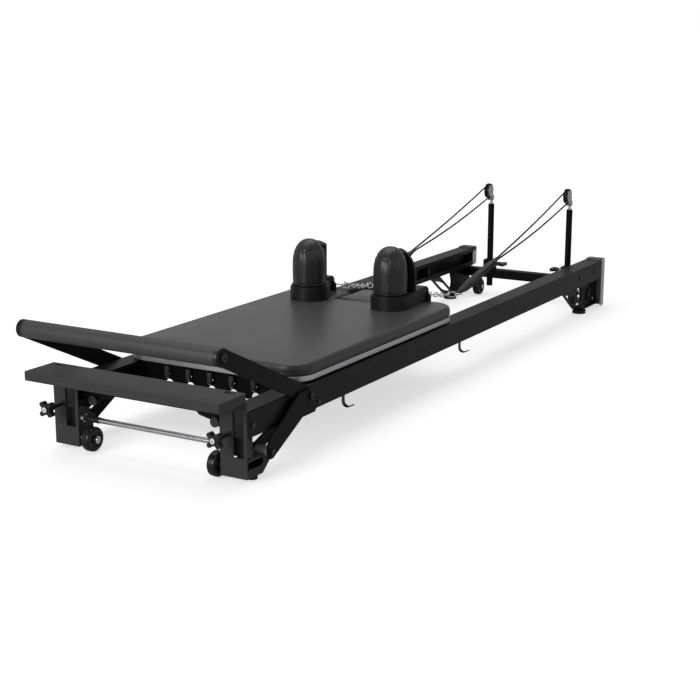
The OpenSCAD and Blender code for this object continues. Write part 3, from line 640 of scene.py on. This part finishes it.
headrest = cushion(
    "headrest_upholstery", inset(head_outline, SWELL * 0.6),
    [(0.003, head_lo.z), (0.0008, head_lo.z + 0.002), (0.0, head_lo.z + 0.008)]
    + quarter_roll(head_lo.z + 0.009, head_hi.z - HEAD_SHOULDER, 0.010, 7),
    LOOK["upholstery"], 0.008, head_surface)
swollen(headrest)
for v in headrest.data.vertices:
    # sewn line above the flat base, and a little slack in the cover
    out_y, out_x = abs(v.co.y) / head_hi.y, abs(v.co.x - head_middle) / head_half
    if max(out_y, out_x) > NEAR_SIDE:
        pull = 0.0012 * math.exp(-((v.co.z - head_lo.z - HEAD_SEAM) / 0.0016) ** 2)
        v.co.y -= math.copysign(pull, v.co.y) if out_y > NEAR_SIDE else 0.0
    elif v.co.z > head_lo.z + 0.012:
        v.co.z += 0.0006 * noise.noise(Vector((v.co.x * 16, v.co.y * 16, 9.0)))
    v.co.z = min(max(v.co.z, head_lo.z), head_hi.z + 0.001)
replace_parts(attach(headrest, "headrest"), "headrest_pad")
piping("headrest_piping", head_outline, head_lo.z + HEAD_SEAM, 0.0014, "headrest")

# ---- shoulder rests ----

DOME = 0.080
DOME_POWER, DOME_ROOT = 2.2, 0.4545
SHRUNK = 0.0018  # left for the cloth to swell into
RIM = 0.006  # over which the round front turns into the flat back
TIP = 0.06  # the dome's last ring, as a share of the pad's radius
RING_POINTS, RING_LEVELS = 120, 56
SEAMS = (math.radians(132), math.radians(-132))


def pad_rings(lo, hi, centre, r):
    """Level rings of a domed pad whose back is pressed flat against its shell."""
    tall, flat_x = hi.z - lo.z - SHRUNK, hi.x - centre.x - SHRUNK
    dome_from = 1 - DOME / tall
    rings = []
    for i in range(RING_LEVELS + 1):
        t = i / RING_LEVELS
        if t < dome_from:
            k = 0.965 + 0.035 * ease(t / 0.10)
        else:
            k = max(0.0, 1 - ((t - dome_from) / (1 - dome_from)) ** DOME_POWER) ** DOME_ROOT
        ring = []
        for x, y in circle((r - SHRUNK) * max(k, TIP), RING_POINTS):
            if x > flat_x - RIM:
                x = flat_x - RIM + RIM * math.tanh((x - flat_x + RIM) / RIM)
            ring.append(centre + Vector((x, y, lo.z + tall * t)))
        rings.append(ring)
    return rings


def crease(p, centre, lo, hi, s):
    """Sewn lines, gathers and slack, which move a point of the cover along its radius."""
    out = Vector((p.x - centre.x, p.y - centre.y, 0))
    reach, a, t = out.length, math.atan2(out.y, out.x), (p.z - lo.z) / (hi.z - lo.z)
    move = 0.0
    # a seam up each side of the front
    for seam in SEAMS:
        gap = (a - seam + math.pi) % (2 * math.pi) - math.pi
        move -= 0.0019 * math.exp(-(gap * reach / 0.0034) ** 2)
    # the crown is a panel of its own: its sewn line dips at the front, with gathers below it
    line = 0.80 - 0.045 * math.cos(a - math.pi)
    move -= 0.0018 * math.exp(-((t - line) / 0.015) ** 2)
    if t < line:
        wander = 2.4 * noise.noise(Vector((a * 1.3, t * 3, s * 5)))
        move += 0.0008 * math.exp((t - line) / 0.07) * math.sin(a * 19 + wander)
    move += 0.0009 * noise.noise(Vector((a * 2.6, t * 1.1, 4 + 9 * s)))
    move += 0.0006 * noise.noise(Vector((p.x * 34, p.y * 34, p.z * 22 + 7 * s)))
    if reach > TINY:
        p += out.normalized() * (move * min(1.0, reach / 0.02))
    p.x = min(p.x, hi.x)
    p.z = min(max(p.z, lo.z), hi.z + 0.001)


for name, s in SIDES:
    lo, hi = BOX["shoulder_pad_" + name]
    r = (hi.y - lo.y) / 2
    centre = Vector((lo.x + r, (lo.y + hi.y) / 2, 0))
    rings = pad_rings(lo, hi, centre, r)
    pad = swollen(loft("shoulder_upholstery_" + name, rings, SHADED_PAD_COVER))
    for v in pad.data.vertices:
        crease(v.co, centre, lo, hi, s)
    body = "shoulder_rest_" + name
    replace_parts(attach(pad, body), "shoulder_pad_" + name)
    # a welt just outside the third ring
    welt = [p + Vector((p.x - centre.x, p.y - centre.y, 0)).normalized() * (0.6 * SHRUNK)
            for p in rings[2]]
    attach(sweep(f"shoulder_piping_{name}", welt, circle(0.0013, 8), SHADED_PAD_COVER, Z_AXIS,
                  closed=True), body)

# ---- foot bar sleeve ----

lo, hi = BOX["footbar_pad"]
mid = (lo + hi) / 2
bar_r = (hi.z - lo.z) / 2
half = (hi.y - lo.y) / 2
SLEEVE_STEPS = 60
SOFT_END = 0.004
sleeve_end = [(half, 0.76), (half, 0.90), (half - 0.0015, 0.97), (half - SOFT_END, 1.0)]
profile = [(-y, bar_r * k) for y, k in sleeve_end]
for i in range(1, SLEEVE_STEPS):
    y = (half - SOFT_END) * (2 * i / SLEEVE_STEPS - 1)
    profile.append((y, bar_r * (1 + 0.006 * noise.noise(Vector((y * 9, 0, 3))))))
profile += [(y, bar_r * k) for y, k in reversed(sleeve_end)]
sleeve = lathe("footbar_sleeve", Vector((mid.x, 0, mid.z)), Y_AXIS, profile, LOOK["foam_grip"], 56)
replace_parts(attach(sleeve, "footbar"), "footbar_pad")

# ---- small fittings ----

SUNK = 0.0016


def turned(name, centre, axis, length, r, look, body, groove=0.0, hole=0.0):
    """A turned disc or sleeve with eased edges, a ring-shaped groove and a sunk middle."""
    eased = min(0.0008, r * 0.12)
    profile = [(0.0, r), (length - eased, r), (length, r - eased)]
    if groove:
        profile += [(length, r * 0.78), (length - groove, r * 0.74), (length - groove, r * 0.60),
                    (length, r * 0.56)]
    if hole:
        profile += [(length, r * hole), (length - SUNK, r * hole * 0.92), (length - SUNK, 0.0)]
    else:
        profile.append((length, 0.0))
    material = look if isinstance(look, bpy.types.Material) else LOOK[look]
    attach(lathe(name, centre, axis, profile, material, 36), body)


arm_out, bolt_out = BOX["footbar_arms"][1].y, BOX["footbar_pivot_bolts"][1].y
hinge_at = pivot("footbar_fold")
foot_bolt = at(84, 0, 61)
BLACK, DARK = "black_plastic", "dark_steel"
# name, body, a point of its axis, where it starts across, length, radius, look, then the extras
PAIRS = (
    ("bar_collar", "footbar", mid, half - 0.0005, 0.0060, bar_r * 0.985, BLACK, {"groove": 0.0008}),
    ("bar_washer", "footbar", mid, half + 0.0054, 0.0022, bar_r * 1.01, DARK, {}),
    ("bar_bolt_cap", "footbar", mid, arm_out + 0.0002, 0.0045, 0.0095, BLACK, {"hole": 0.45}),
    ("pivot_cap", "frame", hinge_at, bolt_out - 0.003, 0.0045, 0.0086, BLACK, {"hole": 0.5}),
    ("brace_spacer", "frame", foot_bolt, 0.2715, 0.0405, 0.0143, STEEL_GREY, {"groove": 0.0012}),
    ("brace_bolt_cap", "frame", foot_bolt, 0.3228, 0.0020, 0.0066, DARK, {"hole": 0.5}),
)
for name, s in SIDES:
    out = Y_AXIS * s
    for piece, body, spot, y, length, r, look, extra in PAIRS:
        centre = Vector((spot.x, s * y, spot.z))
        turned(f"{piece}_{name}", centre, out, length, r, look, body, **extra)
    knob = pivot(f"clamp_knob_{name}_turn")
    face = BOX[f"clamp_knob_{name}"][0].x
    turned(f"knob_cap_{name}", Vector((face + 0.0004, knob.y, knob.z)), -X_AXIS, 0.0020, 0.0072,
           PALE, f"clamp_knob_{name}", hole=0.34)
    riser_knob = pivot(f"riser_knob_{name}_turn")
    turned(f"riser_knob_washer_{name}", Vector((riser_knob.x, s * 0.1372, riser_knob.z)), out,
           0.0030, 0.0120, "chrome", "frame")
    for end in ("foot", "head"):
        hub = pivot(f"{end}_wheel_{name}_spin")
        inner_y = min(abs(corner.y) for corner in BOX[f"{end}_wheel_{name}"])
        turned(f"{end}_axle_cap_{name}", Vector((hub.x, s * (inner_y - 0.0064), hub.z)), -out,
               0.0022, 0.0072, "chrome", "frame", hole=0.5)

# a black sleeve over the rod's left end, standing in for a dark reflection on the chrome rod: a
# painted reflection
turned("tie_rod_reflection_sleeve", at(8, 166, 89), Y_AXIS, 0.049, 0.0086, "black_plastic", "frame")
posts_top = BOX["spring_bar"][1].z
for i in range(SPRINGS):
    post = at(266, (i - 2) * 71, 153)
    turned(f"post_sleeve_{i + 1}", post, Z_AXIS, posts_top - post.z - 0.001, 0.0077,
           "grey_coating", "frame", groove=0.0006)
    turned(f"post_tip_{i + 1}", post, -Z_AXIS, 0.0045, 0.0050, "chrome", "frame", hole=0.5)

# ---- springs ----

spring_lo, spring_hi = BOX["springs"]
COIL_R = 0.0122
WIRE = 0.0018
COILS = 92
COIL_POINTS = 12
LEAD = 0.004  # how far the wire's ends rise towards the first and last coil
row_gap = (spring_hi.y - spring_lo.y - 0.028) / (SPRINGS - 1)
coil_from, coil_to = at(296, 0, 0).x, at(664, 0, 0).x
z = (spring_lo.z + spring_hi.z) / 2
for i in range(SPRINGS):
    y = (i - 2) * row_gap
    path = [Vector((spring_lo.x, y, z)), Vector((coil_from - 0.009, y, z)),
            Vector((coil_from - 0.003, y, z + LEAD))]
    for k in range(COILS * COIL_POINTS + 1):
        a = math.pi / 2 + 2 * math.pi * k / COIL_POINTS
        path.append(Vector((coil_from + (coil_to - coil_from) * k / (COILS * COIL_POINTS),
                            y + COIL_R * math.cos(a), z + COIL_R * math.sin(a))))
    path += [Vector((coil_to + 0.003, y, z + LEAD)), Vector((coil_to + 0.009, y, z)),
             Vector((spring_hi.x, y, z))]
    # the normal is never in line with the wire
    spring = sweep(f"spring_{i + 1}", path, circle(WIRE, 6), LOOK["spring_steel"],
                   X_AXIS + Vector((0, 0.001, 0.002)))
    if i == 0:
        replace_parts(spring, "springs")
    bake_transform(spring)

# ---- ropes, hand loops and snap hooks ----

ROPE_R = 0.0031
ROPE_STEPS = 80
WRAP_STEPS = 24
SAG = 0.010
SEWN_IN = 0.012  # how far the ropes run into the hand loops
reach_from, reach_to = at(1190, 0, 0).x, at(2230, 0, 0).x
bend_to = at(2318, 0, 0).x
strap_a, strap_b = at(1440, 0, 207), at(1747, 0, 280)


def trailing(obj):
    """Bakes the placement into the mesh of a piece that runs between the carriage's tail and the
    risers.
    """
    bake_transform(obj)


def rope(name, path):
    return sweep(name, path, circle(ROPE_R, 10), LOOK["rope"], Y_AXIS)


for name, s in SIDES:
    sheave = pivot(f"pulley_wheel_{name}_spin")
    wheel_lo, wheel_hi = BOX["pulley_wheel_" + name]
    run_r = (wheel_hi.z - wheel_lo.z) / 2 - 0.0017
    end = Vector((strap_b.x, sheave.y, strap_b.z))
    lean = math.atan2(sheave.z - end.z, sheave.x - end.x)
    along = Vector((math.cos(lean), 0, math.sin(lean)))
    up = Vector((-math.sin(lean), 0, math.cos(lean)))
    wrap = []
    for k in range(WRAP_STEPS + 1):
        a = math.pi * k / WRAP_STEPS
        wrap.append(sheave + up * run_r * math.cos(a) + along * run_r * math.sin(a))
    sewn_in = end - along * SEWN_IN
    for part, side, sag in (("upper", 1, 0.6 * SAG), ("lower", -1, SAG)):
        pts = []
        for k in range(ROPE_STEPS + 1):
            t = k / ROPE_STEPS
            p = (sewn_in + up * 0.0030 * side).lerp(sheave + up * run_r * side, t)
            p.z -= sag * math.sin(math.pi * t)
            pts.append(p)
        # each stretch ends where the next begins, on a ring they share
        first = [p for p in pts if p.x < reach_to]
        bend = [p for p in pts if reach_to <= p.x < bend_to]
        last = [p for p in pts if p.x >= bend_to]
        first.append(bend[0])
        bend.append(last[0])
        if part == "upper":
            last = last[:-1] + wrap
        one = rope(f"rope_{part}_{name}", first)
        trailing(one)
        two = rope(f"rope_{part}_middle_{name}", bend)
        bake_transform(two)
        three = rope(f"rope_{part}_wrap_{name}", last)
        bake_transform(three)
        if name == "left" and part == "upper":
            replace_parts(one, "ropes")


BEND_STEPS = 12


def link(name, centre, forward, flat, length, width, wire):
    """A stadium-shaped chrome loop that lies in the plane whose normal is flat."""
    forward = forward.normalized()
    across = forward.cross(flat).normalized()
    path = []
    reach = length / 2 - width / 2
    for side_of, start in ((1, -math.pi / 2), (-1, math.pi / 2)):
        for k in range(BEND_STEPS + 1):
            a = start + math.pi * k / BEND_STEPS
            path.append(centre + forward * (side_of * reach + math.cos(a) * width / 2)
                        + across * (math.sin(a) * width / 2))
    return sweep(name, path, circle(wire, 8), LOOK["chrome"], flat, closed=True)


def spaced(points):
    """Lengths along a path, for placing things evenly on it."""
    lengths = [0.0]
    for a, b in zip(points, points[1:]):
        lengths.append(lengths[-1] + (b - a).length)
    return lengths


def along_path(points, lengths, d):
    """The place and heading at a distance along a path."""
    d = min(max(d, 0.0), lengths[-1] - TINY)
    k = next(i for i in range(len(lengths) - 1) if lengths[i + 1] > d)
    t = (d - lengths[k]) / (lengths[k + 1] - lengths[k])
    return points[k].lerp(points[k + 1], t), (points[k + 1] - points[k]).normalized()


SWIVEL = [(-0.008, 0.0026), (-0.007, 0.0050), (0.003, 0.0050), (0.005, 0.0036), (0.009, 0.0030)]
CHAIN_FROM, CHAIN_SHORT, CHAIN_PITCH = 0.060, 0.064, 0.018
LOOP_BAND = band(0.0205, 0.0044, 6)
CUFF_BAND = band(0.0185, 0.0115, 6)
LOOP_STEPS = 60
CUFF_STEPS = 6
LOOP_GAP = 0.0026  # between the middle plane and each of a loop's two bands


def tail_size(t):
    return 1.0 - 0.62 * ease((t - 0.25) / 0.75)


def loop_size(t):
    return 0.58 + 0.42 * ease((t - 0.04) / 0.10) * ease((0.97 - t) / 0.22)


for name, s in SIDES:
    # webbing sewn round the tail of the shoulder rest, drawn together at a ring
    wide = [at(x, y * s, z) for x, y, z in
            ((1152, 168, 254.5), (1168, 168, 254.5), (1180, 158, 253), (1194, 137, 249))]
    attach(sweep(f"tail_webbing_{name}", rail_path(wide, 24), band(0.030, 0.0024, 5),
                  LOOK["webbing"], Z_AXIS, size=tail_size), "carriage")
    wrap = [at(1160, y * s, z) for y, z in
            ((150, 226), (150, 253), (154, 256), (190, 256), (194, 253), (194, 226))]
    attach(sweep(f"tail_wrap_{name}", rail_path(wrap, 40), band(0.022, 0.0020, 5),
                  LOOK["webbing"], X_AXIS), "carriage")
    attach(link(f"tail_ring_{name}", at(1198, 134 * s, 248), X_AXIS, Y_AXIS + Z_AXIS * 0.3,
                 0.021, 0.019, 0.0020), "carriage")

    # a chain with a snap hook at each end
    knots = [at(x, y * s, z) for x, y, z in
             ((1201, 134, 246), (1255, 138, 236), (1330, 146, 221), (1400, 154, 210),
              (1440, 160, 207))]
    chain = rail_path(knots, 60)
    lengths = spaced(chain)
    total = lengths[-1]
    made = []
    for k, (start, turn) in enumerate(((0.020, 1), (total - 0.030, -1))):
        where, heading = along_path(chain, lengths, start)
        made.append(link(f"snap_hook_body_{name}_{k + 1}", where, heading,
                         Y_AXIS + Z_AXIS * 0.4 * turn, 0.044, 0.016, 0.0023))
        where, heading = along_path(chain, lengths, start + turn * 0.028)
        made.append(lathe(f"snap_hook_swivel_{name}_{k + 1}", where, heading * turn, SWIVEL,
                          LOOK["chrome"], 20))
    d, k = CHAIN_FROM, 0
    while d < total - CHAIN_SHORT:
        where, heading = along_path(chain, lengths, d)
        lean = 0.5 * noise.noise(Vector((k * 3.7, s, 1.5)))
        flat = Y_AXIS if k % 2 else heading.cross(Y_AXIS).normalized()
        flat = Matrix.Rotation(lean, 3, heading) @ flat
        made.append(link(f"chain_link_{name}_{k + 1}", where, heading, flat, 0.024, 0.013, 0.0018))
        d += CHAIN_PITCH
        k += 1
    where, heading = along_path(chain, lengths, total)
    made.append(link(f"strap_ring_{name}", where + heading * 0.003, heading,
                     heading.cross(Y_AXIS), 0.022, 0.026, 0.0022))
    for obj in made:
        trailing(obj)
    if name == "left":
        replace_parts(made[0], "snap_hooks")

    # two bands of webbing, sewn together at both ends
    a, b = strap_a + Y_AXIS * s * 0.160, strap_b + Y_AXIS * s * 0.165
    rise = Y_AXIS.cross(b - a).normalized()
    made = []
    for part, bow, gap in (("upper", 0.0052, LOOP_GAP), ("lower", -0.0046, -LOOP_GAP)):
        path = []
        for i in range(LOOP_STEPS + 1):
            t = i / LOOP_STEPS
            spread = ease(t / 0.22) * ease((1 - t) / 0.30)
            bag = 0.6 * ease((1 - t) / 0.8) * math.sin(t * math.pi)
            path.append(a.lerp(b, t) + rise * (bow * spread * (1 + bag) + gap)
                        + Y_AXIS * (0.0016 * math.sin(t * 5) * s))
        made.append(sweep(f"hand_loop_{part}_{name}", path, LOOP_BAND, LOOK["webbing"], rise,
                          size=loop_size))
    for k, (start, length) in enumerate(((0.012, 0.030), (0.86, 0.040))):
        cuff = [a.lerp(b, start + length * i / CUFF_STEPS) for i in range(CUFF_STEPS + 1)]
        made.append(sweep(f"loop_cuff_{name}_{k + 1}", cuff, CUFF_BAND, LOOK["webbing"], rise))
    for obj in made:
        trailing(obj)
    if name == "left":
        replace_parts(made[0], "hand_straps")

# ---- studio ----

FLOOR = 40.0
NEAR_GLOW, FAR_GLOW = 0.62, 1.0
WORLD_LIGHT = 0.42
scene = bpy.context.scene
floor_mesh = bpy.data.meshes.new("floor")
corners = [(x * FLOOR, y * FLOOR, 0) for x, y in ((-1, -1), (1, -1), (1, 1), (-1, 1))]
floor_mesh.from_pydata(corners, [], [(0, 1, 2, 3)])
floor = bpy.data.objects.new("floor", floor_mesh)
scene.collection.objects.link(floor)
paper = Surface("paper", specular=0.05)
# the paper glows to the camera, and turns white far from the machine so that no horizon shows
away = paper.add("ShaderNodeVectorMath", {"Vector": paper.place}, operation="LENGTH")
seen = paper.add("ShaderNodeLightPath").outputs["Is Camera Ray"]
lit = paper.span(away.outputs["Value"], NEAR_GLOW, FAR_GLOW, 1.5, 5.0)
glow = paper.math("MULTIPLY", lit, seen)
paper.shader.inputs["Emission Color"].default_value = (1.0, 1.0, 1.0, 1.0)
paper.tree.links.new(glow, paper.shader.inputs["Emission Strength"])
floor_mesh.materials.append(paper.finish((0.48, 0.48, 0.48), 0.9))

world = bpy.data.worlds.new("studio")
scene.world = world
world.use_nodes = True
tree = world.node_tree
# white to the camera, dimmer as a light
background = tree.nodes["Background"]
background.inputs["Color"].default_value = (1.0, 1.0, 1.0, 1.0)
sight = tree.nodes.new("ShaderNodeLightPath")
level = tree.nodes.new("ShaderNodeMapRange")
level.inputs["To Min"].default_value, level.inputs["To Max"].default_value = WORLD_LIGHT, 1.0
tree.links.new(sight.outputs["Is Camera Ray"], level.inputs["Value"])
tree.links.new(level.outputs["Result"], background.inputs["Strength"])


def softbox(name, place, target, width, height, power):
    light = bpy.data.lights.new(name, "AREA")
    light.shape = "RECTANGLE"
    light.size, light.size_y = width, height
    light.energy = power
    obj = bpy.data.objects.new(name, light)
    obj.location = place
    obj.rotation_euler = (Vector(target) - Vector(place)).to_track_quat("-Z", "Y").to_euler()
    scene.collection.objects.link(obj)


softbox("overhead", (0.2, 0.6, 4.2), (0, 0, 0), 4.5, 3.0, 92)
softbox("front_left", (-4.6, 0.7, 1.5), (-0.6, 0, 0.2), 2.4, 1.8, 105)
softbox("near_side", (-0.5, -4.2, 1.8), (0, 0, 0.2), 3.5, 1.6, 12)

# ---- camera, from beyond the foot end and to the right of the rails ----

TURN, DOWN = 0.5298, 0.2408
eye = bpy.data.cameras.new("camera")
eye.lens, eye.sensor_width = 72.98, 36.0
eye.clip_end = 100
camera = bpy.data.objects.new("camera", eye)
camera.location = at(-2715.9, -2181.8, 1146.2)
camera.rotation_euler = Euler((math.pi / 2 - DOWN, 0, TURN - math.pi / 2))
scene.collection.objects.link(camera)
scene.camera = camera
scene.view_settings.view_transform = "Standard"

bpy.context.view_layer.update()
